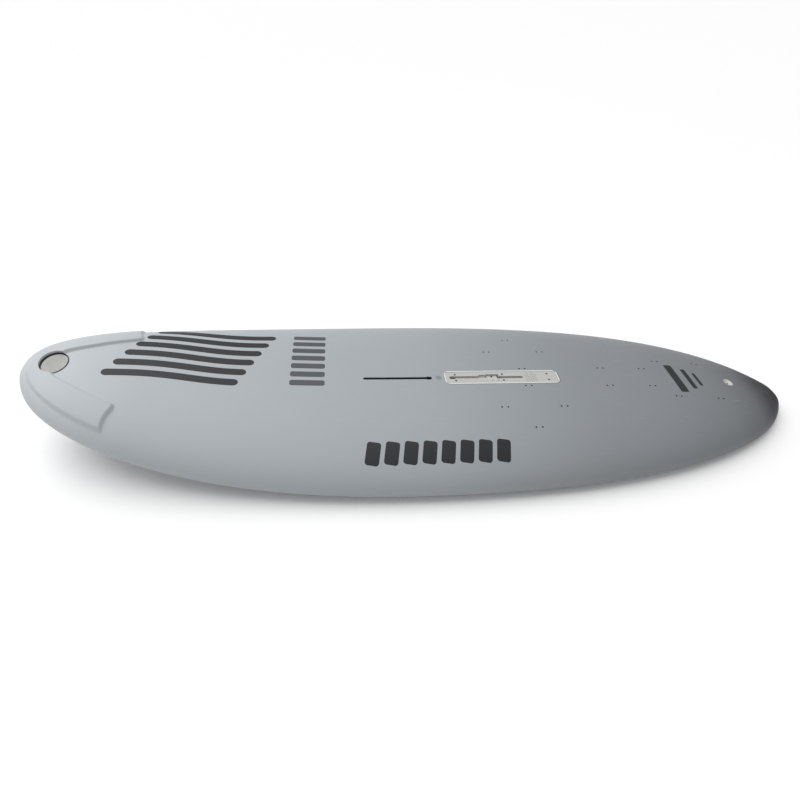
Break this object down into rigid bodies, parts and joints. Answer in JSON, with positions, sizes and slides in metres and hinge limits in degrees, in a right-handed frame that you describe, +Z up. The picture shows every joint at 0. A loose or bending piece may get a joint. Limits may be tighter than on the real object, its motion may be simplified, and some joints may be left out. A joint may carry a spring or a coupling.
{
  "type": "windsurf board",
  "caption": "Wide beginner windsurf board with a retractable centreboard, mast track, nose carrying hole, deck vent, strap inserts and a fin socket.",
  "frame": {"origin": "bottom centre of the board's box, halfway between nose tip and tail tip, on the plane the flat bottom rests on", "axes": "+X to the nose, +Y to port, +Z up out of the deck"},
  "size_m": [2.57, 0.7998, 0.2318],
  "materials": {
    "deck_shell": "satin moulded skin, pale at the nose and dark at the tail",
    "hull_shell": "satin moulded skin",
    "foam": "closed-cell foam",
    "white_plastic": "smooth moulded",
    "cover_plastic": "fine moulded texture",
    "lever_plastic": "satin moulded",
    "case_plastic": "satin moulded",
    "grey_plastic": "satin moulded",
    "black_plastic": "satin moulded",
    "bearing_plastic": "machined smooth",
    "black_rubber": "soft matt rubber",
    "steel": "stainless, satin"
  },
  "bodies": {
    "hull": {"deck_skin": "deck_shell", "hull_skin": "hull_shell", "foam_core": "foam", "nose_handle_liner": "white_plastic", "nose_handle_seal": "black_rubber", "mast_track_box": "black_plastic", "vent_housing": "grey_plastic", "centreboard_case_port": "case_plastic", "centreboard_case_starboard": "case_plastic", "case_joining_screws": "steel", "case_cover": "cover_plastic", "cover_screws": "steel", "pivot_pin": "steel", "thrust_washer_port": "bearing_plastic", "thrust_washer_starboard": "bearing_plastic", "slot_seal_port": "black_rubber", "slot_seal_starboard": "black_rubber", "fin_box": "black_plastic", "fin_bolt_cup": "white_plastic", "strap_inserts_front_port": "black_plastic", "strap_inserts_front_starboard": "black_plastic", "strap_inserts_rear_port": "black_plastic", "strap_inserts_rear_starboard": "black_plastic"},
    "centreboard": {"centreboard_blade": "black_plastic", "centreboard_lever": "lever_plastic", "lever_screws": "steel", "pivot_bush": "bearing_plastic"},
    "vent_ring": {"vent_oring": "black_rubber"},
    "vent_plug": {"vent_screw": "grey_plastic"}
  },
  "joints": [
    {"name": "centreboard_pivot", "type": "hinge", "parent": "hull", "child": "centreboard", "pos_m": [-0.166, 0, 0.098], "axis": [0, -1, 0], "range_deg": [0, 80]},
    {"name": "vent_lift", "type": "slide", "parent": "hull", "child": "vent_ring", "axis": [0, 0, 1], "range_m": [0, 0.006]},
    {"name": "vent_turn", "type": "hinge", "parent": "vent_ring", "child": "vent_plug", "pos_m": [0.02, 0, 0.1356], "axis": [0, 0, 1], "range_deg": [0, 1080]}
  ],
  "couplings": [
    {"joint": "vent_turn", "follows": "vent_lift", "rad_per_m": 3141.6}
  ]
}
